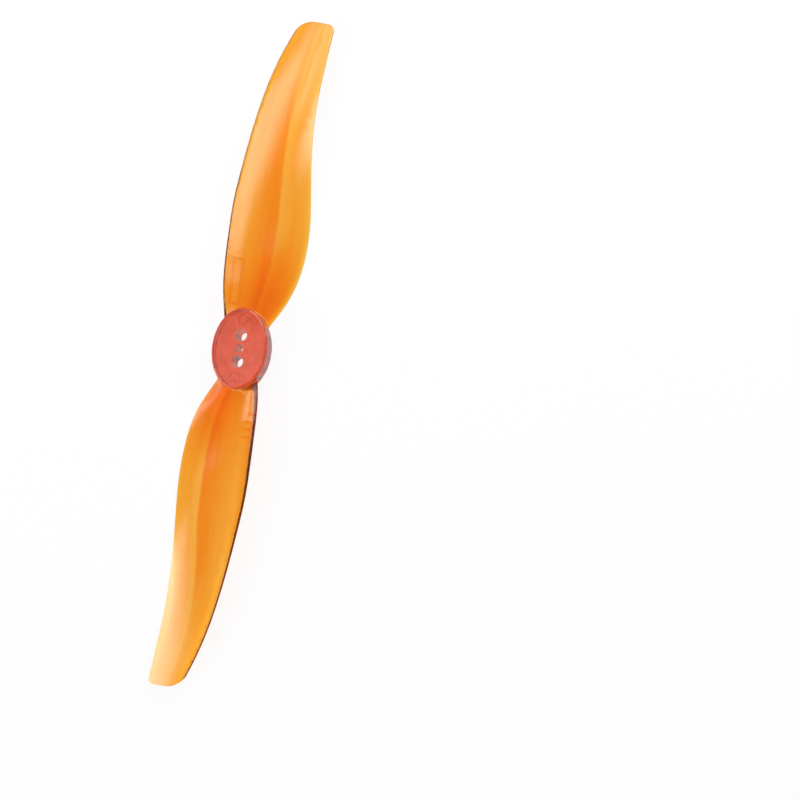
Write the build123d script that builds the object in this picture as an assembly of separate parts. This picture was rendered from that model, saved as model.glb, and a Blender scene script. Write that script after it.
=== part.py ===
"""Two-blade screw-on propeller for a small multirotor, moulded in one piece.

Millimetres. +Z is the shaft axis and points up, away from the motor. The origin is on the shaft
axis, on the flat face that sits on the motor. +X runs along the line of the two screw holes.
Seen from above the propeller turns counter-clockwise.
"""
from build123d import *
from math import atan, cos, degrees, pi, radians, sin, sqrt, tan
import os

os.makedirs("parts", exist_ok=True)

# ---- overall ----
DIAMETER = 129.54          # circle through the tips' trailing corners, before their rounding (5.1 in)
PITCH = 66.04              # advance in one turn (2.6 in)
BLADE_COUNT = 2

# ---- hub: an oval block between the blades ----
HUB_LENGTH = 15.3
HUB_WIDTH = 10.2
HUB_HEIGHT = 6.0
HUB_RIM_RADIUS = 0.45      # rounding of the top rim
HUB_FOOT_CHAMFER = 0.25    # small bevel round the motor face

# ---- holes through the hub ----
SHAFT_HOLE = 1.5
SCREW_HOLE = 2.2
SCREW_SPACING = 5.0

# ---- blades ----
BLADE_WIDTH = 14.2         # widest stretch, seen from above
ROOT_THICKNESS = 2.2       # at the axis, if the blade reached it; it thins fast from there
TIP_THICKNESS = 0.70
EDGE_THICKNESS = 0.36      # trailing edge
CAMBER = 0.035             # rise of the middle, as a share of the chord
ROOT_ANGLE = 22.0          # steepest blade angle, near the hub
ROOT_DEPTH = 3.4           # how far the root runs into the hub, along X
TIP_CORNER_RADIUS = 4.4    # rounded leading corner of the tip
TIP_SLANT = 5.0            # the end of the tip leans this far from square
TIP_HEEL_RADIUS = 1.0      # rounded trailing corner of the tip
TIP_EDGE_ROOM = 0.05       # the trimming stays this far off the blade's edges

# Stations along a blade, hub to tip. Each holds the distance from the shaft axis as a share of
# the tip radius, the leading and the trailing edge as shares of the blade width, and the height
# of the leading edge as a share of the hub height.
STATIONS = [
    (0.14, 0.325, -0.422, 0.76),
    (0.20, 0.352, -0.535, 0.89),
    (0.28, 0.363, -0.612, 0.95),
    (0.37, 0.368, -0.632, 0.95),
    (0.48, 0.342, -0.592, 0.945),
    (0.60, 0.283, -0.530, 0.92),
    (0.725, 0.200, -0.506, 0.86),
    (0.85, 0.072, -0.535, 0.76),
    (0.93, -0.048, -0.566, 0.68),
    (1.01, -0.195, -0.603, 0.60),
]
ROOT_STATION = (0.36, -0.34, 0.45)  # edges as shares of the hub width, middle of its height
SECTION_STEPS = 8                   # points along each side of a blade section

# ---- small moulded marks ----
MARK_HEIGHT = 0.10         # raised on the blades
MARK_LINE = 0.30
FRAME_PLACE = (12.6, 2.6)  # a slim empty frame on the first blade
FRAME_SIZE = (8.6, 1.9)
BARS_PLACE = (14.0, 3.5)   # a row of plain bars on the second
BARS_SIZE = (4.6, 1.5)
BAR_COUNT = 4
RING_DIAMETER = 2.0        # rings sunk in the top of the hub
RING_LINE = 0.25
RING_DEPTH = 0.08
RING_PLACE = 5.35          # from the shaft axis, on the line of the holes

TIP_RADIUS = DIAMETER / 2


def blade_angle(distance):
    """Angle of the blade: constant pitch outside, levelling off at ROOT_ANGLE near the hub."""
    level_off = PITCH / (2 * pi * tan(radians(ROOT_ANGLE)))
    effective = (distance**6 + level_off**6) ** (1 / 6)
    return degrees(atan(PITCH / (2 * pi * effective)))


def half_thickness(share):
    """Half the thickness of a section of unit thickness: round in front, full at a third."""
    return (2.969 * sqrt(share) - 1.26 * share - 3.516 * share**2
            + 2.843 * share**3 - 1.015 * share**4) / 2


def blade_section(distance, lead, trail, lead_height, skin=0.0):
    """One section, square to X. With a skin it is the upper half alone, that much thicker."""
    angle = radians(blade_angle(distance))
    chord = (lead - trail) / cos(angle)
    inward = 1 - min(distance / TIP_RADIUS, 1)
    thickness = TIP_THICKNESS + (ROOT_THICKNESS - TIP_THICKNESS) * inward**2
    upper = []
    lower = []
    for step in range(SECTION_STEPS + 1):
        share = (step / SECTION_STEPS) ** 1.7
        middle = 4 * CAMBER * chord * share * (1 - share)
        half = thickness * half_thickness(share) + share * EDGE_THICKNESS / 2
        upper.append((share * chord, middle + half + skin))
        lower.append((share * chord, middle if skin else middle - half))

    def place(point):
        along, up = point
        y = lead - along * cos(angle) + up * sin(angle)
        z = lead_height - along * sin(angle) + up * cos(angle)
        return Vector(distance, y, z)

    top = Spline([place(point) for point in upper])
    bottom = Spline([place(point) for point in lower])
    edges = [top, Line(top @ 1, bottom @ 1), bottom]
    if skin:
        edges.append(Line(bottom @ 0, top @ 0))
    return Face(Wire(edges))


def blade_body(skin=0.0):
    """The twisted blade, from inside the hub to a little past the tip."""
    root_lead, root_trail, root_middle = ROOT_STATION
    root_height = root_middle * HUB_HEIGHT + root_lead * HUB_WIDTH * tan(radians(blade_angle(0)))
    sections = [blade_section(HUB_LENGTH / 2 - ROOT_DEPTH, root_lead * HUB_WIDTH,
                              root_trail * HUB_WIDTH, root_height, skin)]
    for share, lead, trail, height in STATIONS:
        sections.append(blade_section(share * TIP_RADIUS, lead * BLADE_WIDTH,
                                      trail * BLADE_WIDTH, height * HUB_HEIGHT, skin))
    return loft(sections)


def tip_trim():
    """The prism that the tip is trimmed to: its slanted end, rounded at both corners."""
    corner_y = STATIONS[-1][2] * BLADE_WIDTH
    end = Vector(sqrt(TIP_RADIUS**2 - corner_y**2), corner_y)
    end_run = Vector(-sin(radians(TIP_SLANT)), cos(radians(TIP_SLANT)))
    meetings = []
    runs = []
    for edge, room in ((1, TIP_EDGE_ROOM), (2, -TIP_EDGE_ROOM)):
        near, far = [Vector(station[0] * TIP_RADIUS, station[edge] * BLADE_WIDTH + room)
                     for station in STATIONS[-2:]]
        run = far - near
        share = (end - near).cross(end_run).Z / run.cross(end_run).Z
        meetings.append(near + run * share)
        runs.append(run)
    lead, heel = meetings
    outline = Polyline(
        heel,
        lead,
        lead - runs[0] * 4,
        (0, BLADE_WIDTH),
        (0, -2 * BLADE_WIDTH),
        heel - runs[1] - Vector(0, BLADE_WIDTH),
        heel - runs[1],
        close=True,
    )
    flat = make_face(outline)
    for corner, radius in ((lead, TIP_CORNER_RADIUS), (heel, TIP_HEEL_RADIUS)):
        flat = fillet(flat.vertices().sort_by_distance(corner)[0], radius)
    return extrude(flat, amount=2 * HUB_HEIGHT)


def hub_block():
    """The oval block, with its top rim rounded and its foot bevelled.

    Its wall is two halves that meet at the sides, clear of the blades' roots.
    """
    halves = [EllipticalCenterArc((0, 0), HUB_LENGTH / 2, HUB_WIDTH / 2, start_angle=start,
                                  arc_size=180) for start in (90, 270)]
    block = extrude(make_face(halves), amount=HUB_HEIGHT)
    block = fillet(block.faces().sort_by(Axis.Z)[-1].edges(), HUB_RIM_RADIUS)
    return chamfer(block.faces().sort_by(Axis.Z)[0].edges(), HUB_FOOT_CHAMFER)


def frame_mark():
    """A slim empty frame, seen from above."""
    length, width = FRAME_SIZE
    outer = RectangleRounded(length, width, width * 0.3)
    inner = RectangleRounded(length - 2 * MARK_LINE, width - 2 * MARK_LINE, width * 0.15)
    return Pos(*FRAME_PLACE) * (outer - inner)


def bars_mark():
    """A row of plain bars across the blade, seen from above."""
    length, width = BARS_SIZE
    spacing = (length - MARK_LINE) / (BAR_COUNT - 1)
    places = GridLocations(spacing, 0, BAR_COUNT, 1)
    return Pos(*BARS_PLACE) * Sketch([place * Rectangle(MARK_LINE, width) for place in places])


def holes():
    """The shaft hole and the two screw holes, as pins longer than the hub."""
    tall = 3 * HUB_HEIGHT
    pins = Cylinder(SHAFT_HOLE / 2, tall)
    for place in GridLocations(SCREW_SPACING, 0, 2, 1):
        pins += place * Cylinder(SCREW_HOLE / 2, tall)
    return pins


def rings():
    """The two rings sunk in the top of the hub."""
    ring = Circle(RING_DIAMETER / 2) - Circle(RING_DIAMETER / 2 - RING_LINE)
    pair = Sketch([place * ring for place in GridLocations(2 * RING_PLACE, 0, 2, 1)])
    return extrude(Pos(Z=HUB_HEIGHT - RING_DEPTH) * pair, amount=HUB_HEIGHT)


def propeller():
    """The hub and its blades as one moulding."""
    blade = blade_body() & tip_trim()
    skin = blade_body(MARK_HEIGHT)
    marks = [frame_mark(), bars_mark()]
    body = hub_block()
    for turn in range(BLADE_COUNT):
        body += Rot(Z=360 / BLADE_COUNT * turn) * blade
    for turn in range(BLADE_COUNT):
        mark = extrude(marks[turn % len(marks)], amount=2 * HUB_HEIGHT) & skin
        body += Rot(Z=360 / BLADE_COUNT * turn) * mark
    return body - holes() - rings()


part = propeller()
part.label = "propeller"
export_step(part, "parts/propeller.step")
print("propeller", len(part.solids()), "solid", round(part.volume, 1), "mm3", part.bounding_box())
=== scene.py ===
"""Looks for a two-blade screw-on propeller, moulded in clear amber plastic.

Metres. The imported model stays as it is: this file gives it its plastic, and adds a pale floor, soft
studio lamps and a camera that looks down on it.
"""

from math import pi, radians

import bmesh
import bpy
from mathutils import Matrix, Vector


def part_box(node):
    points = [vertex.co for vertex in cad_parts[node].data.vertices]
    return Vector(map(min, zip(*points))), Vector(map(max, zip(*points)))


bl_info = {
    "name": "Amber propeller",
    "version": (1, 0, 0),
    "blender": (4, 5, 0),
    "location": "View3D > Sidebar > Propeller",
    "description": "Plastic finish and studio for a moulded two-blade propeller",
    "category": "Object",
}

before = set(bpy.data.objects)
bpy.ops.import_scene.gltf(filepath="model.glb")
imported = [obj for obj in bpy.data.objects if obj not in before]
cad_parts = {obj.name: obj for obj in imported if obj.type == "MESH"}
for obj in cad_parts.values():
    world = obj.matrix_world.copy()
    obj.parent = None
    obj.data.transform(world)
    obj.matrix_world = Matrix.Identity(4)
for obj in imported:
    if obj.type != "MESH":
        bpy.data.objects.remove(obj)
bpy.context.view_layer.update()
TIP_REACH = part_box("propeller")[1].x


# ---- sizes and colours that a user would change ----


class PlasticSettings(bpy.types.PropertyGroup):
    """The propeller's clear amber plastic."""

    tint: bpy.props.FloatVectorProperty(
        name="Tint",
        description="Colour of the clear plastic at its plain depth",
        subtype="COLOR",
        size=3,
        min=0,
        max=1,
        default=(0.97, 0.5, 0.05),
    )
    hub_tint: bpy.props.FloatVectorProperty(
        name="Hub tint",
        description="Tint of the hub's surface, over the deep red that its thickness gives",
        subtype="COLOR",
        size=3,
        min=0,
        max=1,
        default=(1.0, 0.9, 0.7),
    )
    hub_length: bpy.props.FloatProperty(
        name="Hub length",
        description="Long way of the oval that takes the hub's tint",
        subtype="DISTANCE",
        unit="LENGTH",
        min=0.001,
        default=0.0153,
    )
    hub_width: bpy.props.FloatProperty(
        name="Hub width",
        description="Short way of that oval",
        subtype="DISTANCE",
        unit="LENGTH",
        min=0.001,
        default=0.0102,
    )
    gloss: bpy.props.FloatProperty(
        name="Roughness",
        description="Roughness of the moulded faces",
        subtype="FACTOR",
        min=0,
        max=1,
        default=0.1,
    )
    ripple: bpy.props.FloatProperty(
        name="Ripple height",
        description="Height of the faint ripple that the cooling plastic leaves",
        subtype="DISTANCE",
        unit="LENGTH",
        min=0,
        default=0.00001,
    )
    mark_depth: bpy.props.FloatProperty(
        name="Mark depth",
        description="How much deeper the tint is on the raised marks",
        min=1,
        default=1.4,
    )
    streaks: bpy.props.FloatProperty(
        name="Flow streaks",
        description="How much the tint varies along the flow of the plastic",
        subtype="FACTOR",
        min=0,
        max=1,
        default=0.12,
    )


class StudioSettings(bpy.types.PropertyGroup):
    """The floor, the lamps and the camera."""

    floor_width: bpy.props.FloatProperty(
        name="Floor width",
        description="Side of the square floor",
        subtype="DISTANCE",
        unit="LENGTH",
        min=0.1,
        default=6.0,
    )
    shadow: bpy.props.FloatProperty(
        name="Shadow",
        description="How much of the floor's white comes from the lamps, and so darkens in shadow",
        subtype="FACTOR",
        min=0,
        max=1,
        default=0.12,
    )
    room: bpy.props.FloatProperty(
        name="Room light",
        description="Strength of the even light from all round",
        min=0,
        default=0.16,
    )
    eye: bpy.props.FloatVectorProperty(
        name="Camera place",
        description="Where the camera stands",
        subtype="TRANSLATION",
        unit="LENGTH",
        size=3,
        default=(-0.01007, -0.03188, 0.15158),
    )
    lens: bpy.props.FloatProperty(
        name="Lens",
        description="Focal length on a 36 mm sensor, in millimetres",
        min=10,
        default=35.47,
    )


MM = 0.001                       # one millimetre

# Each softbox: its name, its centre on the ceiling, its length along X and Y before its turn about
# Z, that turn, how far in its edges fade, as a share of its length, and its strength, where 1 is as
# bright as white paper.
CEILING = 0.45
SOFTBOXES = (
    ("lamp_front", (0.20, 0.05), (0.30, 0.50), 0.0, 0.28, 3.0),
    ("lamp_front_right", (0.30, -0.12), (0.24, 0.34), 0.0, 0.28, 2.8),
    ("lamp_right", (0.53, -0.277), (0.60, 0.72), radians(-40.0), 0.14, 5.2),
    ("lamp_left", (-0.42, 0.592), (0.60, 0.98), radians(-20.5), 0.25, 5.2),
    ("lamp_far_left", (0.15, 2.20), (1.20, 1.10), 0.0, 0.16, 2.4),
    ("lamp_slit", (0.14, 0.33), (0.12, 0.36), 0.0, 0.28, 3.0),
    ("lamp_top", (0.01, -0.02), (0.16, 0.46), 0.0, 0.28, 1.2),
)

PAPER_SHADE = 0.93               # the floor's own grey
PAPER_FIBRE = 0.97               # and how much darker its fibres are
FIBRE_SCALE = 900.0              # how many fibres to a metre
FLOOR_GAP = 0.0001               # the floor lies this far below the propeller
GLOSS_LEVEL = 0.5                # how bright the paper is in reflections, where 1 is white
HORIZON = (0.04, 0.3)            # the height of a direction where white gives way to dim

SENSOR_WIDTH = 36.0              # of the camera, in millimetres
NEAREST = 0.001                  # the camera sees nothing nearer
VIEW_FORWARD = (0.0328, 0.0068, -0.9994)
VIEW_UP = (0.9896, 0.1405, 0.0334)

# The clear plastic: how much of the light goes through it, and what its depth takes out.
TRANSMISSION = 0.96
REFRACTIVE_INDEX = 1.58
ABSORPTION_COLOUR = (0.975, 0.7, 0.1, 1.0)
ABSORPTION_DENSITY = 1500.0

# The noises in it: how many patches to a metre, or along and across a blade, and the part of a
# noise's range that shows.
FLOW_SCALES, FLOW_RANGE = (3.0, 9.0), (0.25, 0.75)
CLOUD_SCALE, CLOUD_RANGE = 420.0, (0.35, 0.65)
CLOUD_TONE = 0.84                # how dark the clouds in the hub are
GLOSS_RANGE = (0.3, 0.7)         # the clouds also change the roughness, between these shares of it
GLOSS_SHARES = (0.8, 1.3)
GRAIN_SCALE = 2500.0
GRAIN_SHARE = 0.15               # the grain's height beside the streaks'

# How deep the tint is across a blade, from its leading edge (0) to its trailing edge (1). It is
# deepest at the root, partly for the root's real thickness and partly as painted shadow, and past
# the middle of the blade's width it thins in a soft step, which is a painted highlight. The deep band
# before the step is painted shadow, the deeper leading edge is painted shade, and the thin tint at
# the trailing edge is a painted reflection.
DEPTH_AND_PAINTED_LIGHT_AT_ROOT = (
    (0.0, 1.6), (0.08, 1.0), (0.3, 1.15), (0.45, 1.6), (0.565, 2.15), (0.585, 1.7), (0.7, 2.0),
    (0.87, 1.7), (0.94, 1.3), (1.0, 0.7),
)
DEPTH_AND_PAINTED_LIGHT_IN_MIDDLE = (
    (0.0, 1.1), (0.08, 0.8), (0.25, 0.75), (0.45, 1.15), (0.57, 1.3), (0.595, 0.7),
    (0.72, 0.95), (0.85, 1.05), (0.93, 0.95), (1.0, 0.35),
)
DEPTH_AND_PAINTED_LIGHT_AT_TIP = (
    (0.0, 1.0), (0.05, 0.95), (0.25, 0.88), (0.45, 0.8), (0.57, 0.72), (0.595, 0.6), (0.8, 0.75),
    (0.92, 0.8), (1.0, 0.75),
)

ROOT_TO_MIDDLE = (0.12, 0.4)     # where along the blade one curve gives way to the next
MIDDLE_TO_TIP = (0.55, 0.92)
DEPTH_LIMIT = 3.0                # the curves' full scale

# On the second blade the painted highlight step shifts by these shares of the chord between these
# two places along the blade, and so crosses toward the leading edge.
PAINTED_STEP_SPANS = (0.46, 0.86)
PAINTED_STEP_SHIFTS = (-0.05, 0.17)

# The raised marks near the hub, in millimetres from the axis and from the middle line: an empty
# frame on the first blade and a row of bars on the second. Their lines hold a deeper tint.
MARK_LINE = 0.3
FRAME_PLACE, FRAME_SIZE = (12.6, 2.6), (8.6, 1.9)
BARS_PLACE, BARS_SIZE, BAR_COUNT = (14.0, 3.5), (4.6, 1.5), 4

# The rings sunk in the hub's top, in millimetres, and how dark their tint is, which is painted shade
# in their grooves.
RING_PLACE, RING_RADIUS, RING_LINE = 5.35, 1.0, 0.25
RING_SHADE_TONE = 0.7
HUB_FADE = 1.1                   # the hub's tint has faded at this squared share of its oval

SPANS = (0.13, 0.2, 0.28, 0.37, 0.48, 0.6, 0.725, 0.85, 0.92)  # shares of the blade's reach
SIDE_LIMIT = 0.01                # no blade edge lies further than this from the middle line


# ---- node helpers ----


def fresh_nodes(material):
    """Empties a material's node tree and returns it with its output node."""
    material.use_nodes = True
    tree = material.node_tree
    tree.nodes.clear()
    return tree, tree.nodes.new("ShaderNodeOutputMaterial")


def noise(tree, vector, scale, detail, roughness=0.5):
    """A noise texture whose Fac output is returned."""
    node = tree.nodes.new("ShaderNodeTexNoise")
    node.inputs["Scale"].default_value = scale
    node.inputs["Detail"].default_value = detail
    node.inputs["Roughness"].default_value = roughness
    tree.links.new(vector, node.inputs["Vector"])
    return node.outputs["Fac"]


def ranged(tree, value, low, high, to_low=0.0, to_high=1.0):
    """The value from low..high brought smoothly to to_low..to_high."""
    node = tree.nodes.new("ShaderNodeMapRange")
    node.interpolation_type = "SMOOTHSTEP"
    node.inputs["From Min"].default_value = low
    node.inputs["From Max"].default_value = high
    node.inputs["To Min"].default_value = to_low
    node.inputs["To Max"].default_value = to_high
    tree.links.new(value, node.inputs["Value"])
    return node.outputs["Result"]


def maths(tree, operation, first, second=0.0):
    """A maths node on one or two sockets or numbers."""
    node = tree.nodes.new("ShaderNodeMath")
    node.operation = operation
    for socket, value in zip(node.inputs, (first, second)):
        if isinstance(value, (int, float)):
            socket.default_value = value
        else:
            tree.links.new(value, socket)
    return node.outputs["Value"]


def blended(tree, factor, first, second):
    """A colour mix of two sockets or colours."""
    node = tree.nodes.new("ShaderNodeMix")
    node.data_type = "RGBA"
    tree.links.new(factor, node.inputs["Factor"])
    for name, value in (("A", first), ("B", second)):
        socket = next(s for s in node.inputs if s.name == name and s.type == "RGBA")
        if isinstance(value, tuple):
            socket.default_value = (*value, 1.0)
        else:
            tree.links.new(value, socket)
    return next(s for s in node.outputs if s.type == "RGBA")


def mixed(tree, factor, first, second):
    """A number between the first and the second."""
    node = tree.nodes.new("ShaderNodeMix")
    for name, value in (("Factor", factor), ("A", first), ("B", second)):
        tree.links.new(value, next(s for s in node.inputs if s.name == name and s.type == "VALUE"))
    return next(s for s in node.outputs if s.type == "VALUE")


def curve_over(tree, value, points):
    """A value read off a smooth curve through the points, all within 0..1."""
    node = tree.nodes.new("ShaderNodeFloatCurve")
    curve = node.mapping.curves[0]
    curve.points[0].location = points[0]
    curve.points[1].location = points[-1]
    for point in points[1:-1]:
        curve.points.new(*point)
    node.mapping.update()
    tree.links.new(value, node.inputs["Value"])
    return node.outputs["Value"]


def new_group(name, inputs, outputs):
    """A shader node group of numbers and vectors, with its input and output nodes."""
    group = bpy.data.node_groups.new(name, "ShaderNodeTree")
    for label, kind in inputs:
        group.interface.new_socket(label, in_out="INPUT", socket_type=kind)
    for label, kind in outputs:
        group.interface.new_socket(label, in_out="OUTPUT", socket_type=kind)
    return group, group.nodes.new("NodeGroupInput"), group.nodes.new("NodeGroupOutput")


# ---- the blades' own directions ----


def blade_edges(mesh, distance):
    """Y of the leading and of the trailing edge of the first blade, that far from the axis."""
    shape = bmesh.new()
    shape.from_mesh(mesh)
    cut = bmesh.ops.bisect_plane(
        shape,
        geom=[*shape.verts, *shape.edges, *shape.faces],
        plane_co=(distance, 0, 0),
        plane_no=(1, 0, 0),
    )
    sides = [v.co.y for v in cut["geom_cut"] if isinstance(v, bmesh.types.BMVert)]
    shape.free()
    return max(sides), min(sides)


def blade_place(mesh):
    """A group that gives a point's place on either blade.

    Its outputs are how far out along the blade and how far across it the point lies, each as a
    share, its distance from the blade's middle line, and 1 on the first blade.
    """
    group, start, end = new_group(
        "blade_place",
        [("Vector", "NodeSocketVector")],
        [
            ("Span", "NodeSocketFloat"),
            ("Chord", "NodeSocketFloat"),
            ("Across", "NodeSocketFloat"),
            ("First", "NodeSocketFloat"),
        ],
    )
    apart = group.nodes.new("ShaderNodeSeparateXYZ")
    group.links.new(start.outputs["Vector"], apart.inputs["Vector"])
    side = maths(group, "SIGN", apart.outputs["X"])
    span = maths(group, "DIVIDE", maths(group, "ABSOLUTE", apart.outputs["X"]), TIP_REACH)
    across = maths(group, "MULTIPLY", apart.outputs["Y"], side)
    rows = [(share, *blade_edges(mesh, share * TIP_REACH)) for share in SPANS]
    (near, *near_edges), (far, *far_edges) = rows[-2:]
    onward = (1 - far) / (far - near)
    rows.append((1.0, *(b + (b - a) * onward for a, b in zip(near_edges, far_edges))))
    lead, trail = [
        maths(
            group,
            "MULTIPLY",
            maths(
                group,
                "SUBTRACT",
                curve_over(
                    group,
                    span,
                    [(row[0], 0.5 + row[edge] / (2 * SIDE_LIMIT)) for row in rows],
                ),
                0.5,
            ),
            2 * SIDE_LIMIT,
        )
        for edge in (1, 2)
    ]
    chord = maths(
        group,
        "DIVIDE",
        maths(group, "SUBTRACT", lead, across),
        maths(group, "SUBTRACT", lead, trail),
    )
    group.links.new(span, end.inputs["Span"])
    group.links.new(chord, end.inputs["Chord"])
    group.links.new(across, end.inputs["Across"])
    group.links.new(maths(group, "GREATER_THAN", side, 0.0), end.inputs["First"])
    return group


# ---- masks over the hub and the marks ----


def hub_mask(tree, place, half_length, half_width):
    """1 over the oval hub, fading to 0 just outside it."""
    apart = tree.nodes.new("ShaderNodeSeparateXYZ")
    tree.links.new(place, apart.inputs["Vector"])
    parts = [
        maths(tree, "POWER", maths(tree, "DIVIDE", apart.outputs[axis], half), 2.0)
        for axis, half in (("X", half_length), ("Y", half_width))
    ]
    return ranged(tree, maths(tree, "ADD", *parts), 1.0, HUB_FADE, 1.0, 0.0)


def sunk_rings(tree, place):
    """1 on the two rings in the hub's top."""
    apart = tree.nodes.new("ShaderNodeSeparateXYZ")
    tree.links.new(place, apart.inputs["Vector"])
    far = maths(tree, "ABSOLUTE", apart.outputs["X"])
    along = maths(tree, "SUBTRACT", far, RING_PLACE * MM)
    squares = [maths(tree, "MULTIPLY", side, side) for side in (along, apart.outputs["Y"])]
    away = maths(tree, "SQRT", maths(tree, "ADD", *squares))
    off_line = maths(tree, "SUBTRACT", away, (RING_RADIUS - RING_LINE / 2) * MM)
    return maths(tree, "LESS_THAN", maths(tree, "ABSOLUTE", off_line), RING_LINE / 2 * MM)


def box_depth(tree, along, across, centre, size):
    """How far inside a box a point lies, in millimetres; below 0 it is outside."""
    gaps = []
    for value, middle, length in zip((along, across), centre, size):
        off = maths(tree, "ABSOLUTE", maths(tree, "SUBTRACT", value, middle))
        gaps.append(maths(tree, "SUBTRACT", length / 2, off))
    return maths(tree, "MINIMUM", *gaps)


def raised_marks(tree, where):
    """1 on the lines of the frame and on the bars."""
    along = maths(tree, "MULTIPLY", where.outputs["Span"], TIP_REACH / MM)
    across = maths(tree, "MULTIPLY", where.outputs["Across"], 1 / MM)
    inside = box_depth(tree, along, across, FRAME_PLACE, FRAME_SIZE)
    line = maths(
        tree,
        "MULTIPLY",
        maths(tree, "GREATER_THAN", inside, 0.0),
        maths(tree, "LESS_THAN", inside, MARK_LINE),
    )
    spacing = (BARS_SIZE[0] - MARK_LINE) / (BAR_COUNT - 1)
    start = BARS_PLACE[0] - BARS_SIZE[0] / 2 + MARK_LINE / 2
    off_bar = maths(tree, "PINGPONG", maths(tree, "SUBTRACT", along, start), spacing / 2)
    bars = maths(
        tree,
        "MULTIPLY",
        maths(tree, "LESS_THAN", off_bar, MARK_LINE / 2),
        maths(tree, "GREATER_THAN", box_depth(tree, along, across, BARS_PLACE, BARS_SIZE), 0.0),
    )
    return mixed(tree, where.outputs["First"], bars, line)


# ---- the plastic's colour ----


def depth_and_painted_light(tree, where):
    """How deep the tint is at a place on a blade: partly its own depth, partly painted shadow,
    highlight and reflection.
    """
    span = where.outputs["Span"]
    # The painted highlight step leans across the second blade.
    painted_step_lean = ranged(tree, span, *PAINTED_STEP_SPANS, *PAINTED_STEP_SHIFTS)
    second = maths(tree, "SUBTRACT", 1.0, where.outputs["First"])
    moved = maths(tree, "ADD", where.outputs["Chord"], maths(tree, "MULTIPLY", painted_step_lean, second))
    moved = maths(tree, "MINIMUM", maths(tree, "MAXIMUM", moved, 0.0), 1.0)
    root, middle, tip = [
        maths(
            tree,
            "MULTIPLY",
            curve_over(tree, moved, [(x, y / DEPTH_LIMIT) for x, y in points]),
            DEPTH_LIMIT,
        )
        for points in (DEPTH_AND_PAINTED_LIGHT_AT_ROOT, DEPTH_AND_PAINTED_LIGHT_IN_MIDDLE, DEPTH_AND_PAINTED_LIGHT_AT_TIP)
    ]
    inner = mixed(tree, ranged(tree, span, *ROOT_TO_MIDDLE), root, middle)
    return mixed(tree, ranged(tree, span, *MIDDLE_TO_TIP), inner, tip)


def blade_flow(tree, where):
    """Noise that runs in long streaks along a blade."""
    place = tree.nodes.new("ShaderNodeCombineXYZ")
    for name, axis, scale in zip(("Span", "Chord"), "XY", FLOW_SCALES):
        tree.links.new(maths(tree, "MULTIPLY", where.outputs[name], scale), place.inputs[axis])
    return noise(tree, place.outputs["Vector"], 1.0, 4.0, 0.6)


def blade_colour(tree, where, flow, settings):
    """The tint, raised to its depth at each place, which holds painted shade and painted highlights.
    """
    streak = ranged(tree, flow, *FLOW_RANGE, 1 - settings.streaks, 1 + settings.streaks)
    marked = ranged(tree, raised_marks(tree, where), 0.0, 1.0, 1.0, settings.mark_depth)
    # Besides the plastic's own depth, this depth holds painted shadow, a painted highlight step and a
    # painted reflection.
    depth = maths(tree, "MULTIPLY", depth_and_painted_light(tree, where), streak)
    gamma = tree.nodes.new("ShaderNodeGamma")
    gamma.inputs["Color"].default_value = (*settings.tint, 1.0)
    tree.links.new(maths(tree, "MULTIPLY", depth, marked), gamma.inputs["Gamma"])
    return gamma.outputs["Color"]


def hub_colour(tree, place, cloud, settings):
    """The hub's clouded tint, with painted shade on the sunk rings."""
    clouded = blended(
        tree,
        ranged(tree, cloud, *CLOUD_RANGE),
        tuple(c * c * CLOUD_TONE for c in settings.hub_tint),
        tuple(settings.hub_tint),
    )
    # Painted shade in the sunk rings' grooves.
    dark = tuple(c * RING_SHADE_TONE for c in settings.hub_tint)
    return blended(tree, sunk_rings(tree, place), clouded, dark)


# ---- the stage ----


def seen_by(tree, path, *kinds):
    """1 for a ray of any of these kinds."""
    seen = path.outputs[f"Is {kinds[0]} Ray"]
    for kind in kinds[1:]:
        seen = maths(tree, "MAXIMUM", seen, path.outputs[f"Is {kind} Ray"])
    return seen


def mixed_floor(material, shadow):
    """A pale floor that reads as white to the camera and keeps a share of its shadow."""
    tree, output = fresh_nodes(material)
    place = tree.nodes.new("ShaderNodeTexCoord").outputs["Object"]
    fibre = noise(tree, place, FIBRE_SCALE, 3.0)
    dark = (PAPER_SHADE * PAPER_FIBRE,) * 3
    colour = blended(tree, fibre, dark, (PAPER_SHADE,) * 3)
    lit = tree.nodes.new("ShaderNodeBsdfDiffuse")
    tree.links.new(colour, lit.inputs["Color"])
    white = tree.nodes.new("ShaderNodeEmission")
    path = tree.nodes.new("ShaderNodeLightPath")
    # A reflection sees the paper dimmer than the camera and the clear plastic do.
    reflected = maths(
        tree,
        "SUBTRACT",
        path.outputs["Is Glossy Ray"],
        path.outputs["Is Transmission Ray"],
    )
    level = ranged(tree, reflected, 0.0, 1.0, 1.0, GLOSS_LEVEL)
    tree.links.new(level, white.inputs["Strength"])
    shown = seen_by(tree, path, "Camera", "Transmission", "Glossy")
    mix = tree.nodes.new("ShaderNodeMixShader")
    tree.links.new(maths(tree, "MULTIPLY", shown, 1 - shadow), mix.inputs["Fac"])
    tree.links.new(lit.outputs["BSDF"], mix.inputs[1])
    tree.links.new(white.outputs["Emission"], mix.inputs[2])
    tree.links.new(mix.outputs["Shader"], output.inputs["Surface"])


def paper_floor(settings):
    """The square floor, just below the propeller."""
    mesh = bpy.data.meshes.new("floor")
    shape = bmesh.new()
    bmesh.ops.create_grid(
        shape,
        x_segments=1,
        y_segments=1,
        size=settings.floor_width / 2,
        matrix=Matrix.Translation((0, 0, -FLOOR_GAP)),
    )
    shape.to_mesh(mesh)
    shape.free()
    floor = bpy.data.objects.new("floor", mesh)
    bpy.context.scene.collection.objects.link(floor)
    paper = bpy.data.materials.new("pale_floor")
    mixed_floor(paper, settings.shadow)
    mesh.materials.append(paper)
    return floor


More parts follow.
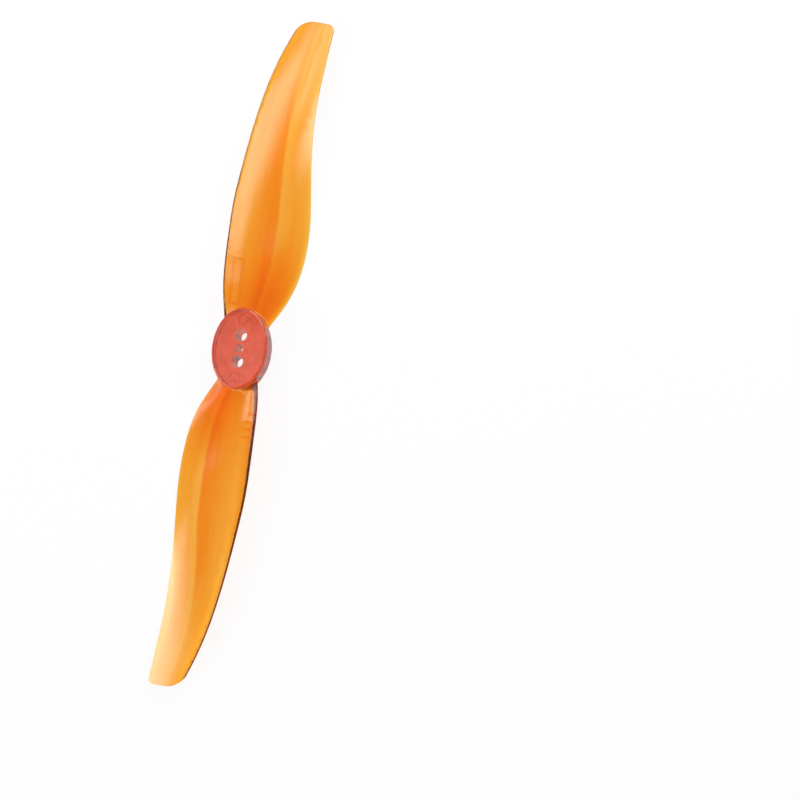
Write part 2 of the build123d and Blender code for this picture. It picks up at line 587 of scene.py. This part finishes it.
def lit_world(strength):
    """Even light all round, white to the camera and to clear plastic.

    Gloss sees it white near the horizon and dim overhead, where the lamps hang.
    """
    world = bpy.data.worlds.new("studio_room")
    bpy.context.scene.world = world
    world.use_nodes = True
    tree = world.node_tree
    tree.nodes.clear()
    output = tree.nodes.new("ShaderNodeOutputWorld")
    path = tree.nodes.new("ShaderNodeLightPath")
    direction = tree.nodes.new("ShaderNodeTexCoord").outputs["Generated"]
    apart = tree.nodes.new("ShaderNodeSeparateXYZ")
    tree.links.new(direction, apart.inputs["Vector"])
    low = ranged(tree, apart.outputs["Z"], *HORIZON, 1.0, 0.0)
    mirrored = maths(tree, "MULTIPLY", low, path.outputs["Is Glossy Ray"])
    seen = maths(tree, "MAXIMUM", seen_by(tree, path, "Camera", "Transmission"), mirrored)
    glow = tree.nodes.new("ShaderNodeBackground")
    glow.inputs["Color"].default_value = (1.0, 1.0, 1.0, 1.0)
    tree.links.new(ranged(tree, seen, 0.0, 1.0, strength, 1.0), glow.inputs["Strength"])
    tree.links.new(glow.outputs["Background"], output.inputs["Surface"])


def softbox(name, centre, size, turn, fade, strength):
    """A lamp with soft edges that faces down from the ceiling, unseen by the camera."""
    light = bpy.data.lights.new(name, "AREA")
    light.shape = "RECTANGLE"
    light.size, light.size_y = size
    light.energy = strength * pi * size[0] * size[1]
    light.use_nodes = True
    tree = light.node_tree
    glow = next(n for n in tree.nodes if n.type == "EMISSION")
    apart = tree.nodes.new("ShaderNodeSeparateXYZ")
    face = tree.nodes.new("ShaderNodeNewGeometry").outputs["Parametric"]
    tree.links.new(face, apart.inputs["Vector"])
    sides = []
    for axis in "XY":
        off = maths(tree, "ABSOLUTE", maths(tree, "SUBTRACT", apart.outputs[axis], 0.5))
        sides.append(ranged(tree, off, 0.5 - fade, 0.5, 1.0, 0.0))
    tree.links.new(maths(tree, "MULTIPLY", *sides), glow.inputs["Strength"])
    lamp = bpy.data.objects.new(name, light)
    lamp.location = (*centre, CEILING)
    lamp.rotation_euler = (0, 0, turn)
    lamp.visible_camera = False
    bpy.context.scene.collection.objects.link(lamp)


def aimed_camera(settings):
    """The camera, which looks down on the propeller and becomes the scene's."""
    sight = bpy.data.cameras.new("camera")
    sight.lens = settings.lens
    sight.sensor_width = SENSOR_WIDTH
    sight.clip_start = NEAREST
    camera = bpy.data.objects.new("camera", sight)
    forward = Vector(VIEW_FORWARD).normalized()
    right = forward.cross(Vector(VIEW_UP)).normalized()
    turn = Matrix((right, right.cross(forward), -forward)).transposed()
    camera.matrix_world = Matrix.Translation(settings.eye) @ turn.to_4x4()
    bpy.context.scene.collection.objects.link(camera)
    bpy.context.scene.camera = camera


# ---- operators ----


class PROPELLER_OT_plastic(bpy.types.Operator):
    """Give the propeller its clear amber plastic"""

    bl_idname = "propeller.plastic"
    bl_label = "Amber plastic"

    def execute(self, context):
        settings = context.scene.propeller_plastic
        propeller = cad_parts["propeller"]
        material = bpy.data.materials.new("amber_plastic")
        tree, output = fresh_nodes(material)
        place = tree.nodes.new("ShaderNodeTexCoord").outputs["Object"]
        where = tree.nodes.new("ShaderNodeGroup")
        where.node_tree = blade_place(propeller.data)
        tree.links.new(place, where.inputs["Vector"])
        flow = blade_flow(tree, where)
        cloud = noise(tree, place, CLOUD_SCALE, 3.0, 0.6)
        colour = blended(
            tree,
            hub_mask(tree, place, settings.hub_length / 2, settings.hub_width / 2),
            blade_colour(tree, where, flow, settings),
            hub_colour(tree, place, cloud, settings),
        )
        gloss = [settings.gloss * share for share in GLOSS_SHARES]
        rough = ranged(tree, cloud, *GLOSS_RANGE, *gloss)
        grain = noise(tree, place, GRAIN_SCALE, 2.0)
        height = maths(tree, "ADD", flow, maths(tree, "MULTIPLY", grain, GRAIN_SHARE))
        bump = tree.nodes.new("ShaderNodeBump")
        bump.inputs["Strength"].default_value = 1.0
        bump.inputs["Distance"].default_value = settings.ripple
        tree.links.new(height, bump.inputs["Height"])
        shader = tree.nodes.new("ShaderNodeBsdfPrincipled")
        shader.inputs["Transmission Weight"].default_value = TRANSMISSION
        shader.inputs["IOR"].default_value = REFRACTIVE_INDEX
        tree.links.new(colour, shader.inputs["Base Color"])
        tree.links.new(rough, shader.inputs["Roughness"])
        tree.links.new(bump.outputs["Normal"], shader.inputs["Normal"])
        inside = tree.nodes.new("ShaderNodeVolumeAbsorption")
        inside.inputs["Color"].default_value = ABSORPTION_COLOUR
        inside.inputs["Density"].default_value = ABSORPTION_DENSITY
        tree.links.new(shader.outputs["BSDF"], output.inputs["Surface"])
        tree.links.new(inside.outputs["Volume"], output.inputs["Volume"])
        for slot in propeller.material_slots:
            slot.material = material
        return {"FINISHED"}


class PROPELLER_OT_stage(bpy.types.Operator):
    """Lay the pale floor and set the lamps and the camera"""

    bl_idname = "propeller.stage"
    bl_label = "Floor, lamps and camera"

    def execute(self, context):
        settings = context.scene.propeller_studio
        floor = paper_floor(settings)
        lit_world(settings.room)
        for row in SOFTBOXES:
            softbox(*row)
        aimed_camera(settings)
        context.scene.view_settings.view_transform = "Standard"
        return {"FINISHED"}


class PROPELLER_PT_sidebar(bpy.types.Panel):
    """Lists the propeller's steps in the sidebar"""

    bl_label = "Amber propeller"
    bl_idname = "PROPELLER_PT_sidebar"
    bl_space_type = "VIEW_3D"
    bl_region_type = "UI"
    bl_category = "Propeller"

    def draw(self, context):
        plastic = context.scene.propeller_plastic
        studio = context.scene.propeller_studio
        for settings in (plastic, studio):
            for name in settings.__annotations__:
                self.layout.prop(settings, name)
        for step in STEPS:
            self.layout.operator(step.bl_idname)


STEPS = (PROPELLER_OT_plastic, PROPELLER_OT_stage)
CLASSES = (PlasticSettings, StudioSettings, *STEPS, PROPELLER_PT_sidebar)


def register():
    for kind in CLASSES:
        bpy.utils.register_class(kind)
    bpy.types.Scene.propeller_plastic = bpy.props.PointerProperty(type=PlasticSettings)
    bpy.types.Scene.propeller_studio = bpy.props.PointerProperty(type=StudioSettings)


def unregister():
    del bpy.types.Scene.propeller_studio
    del bpy.types.Scene.propeller_plastic
    for kind in reversed(CLASSES):
        bpy.utils.unregister_class(kind)


def main():
    register()
    bpy.ops.propeller.plastic()
    bpy.ops.propeller.stage()


if __name__ == "__main__":
    main()
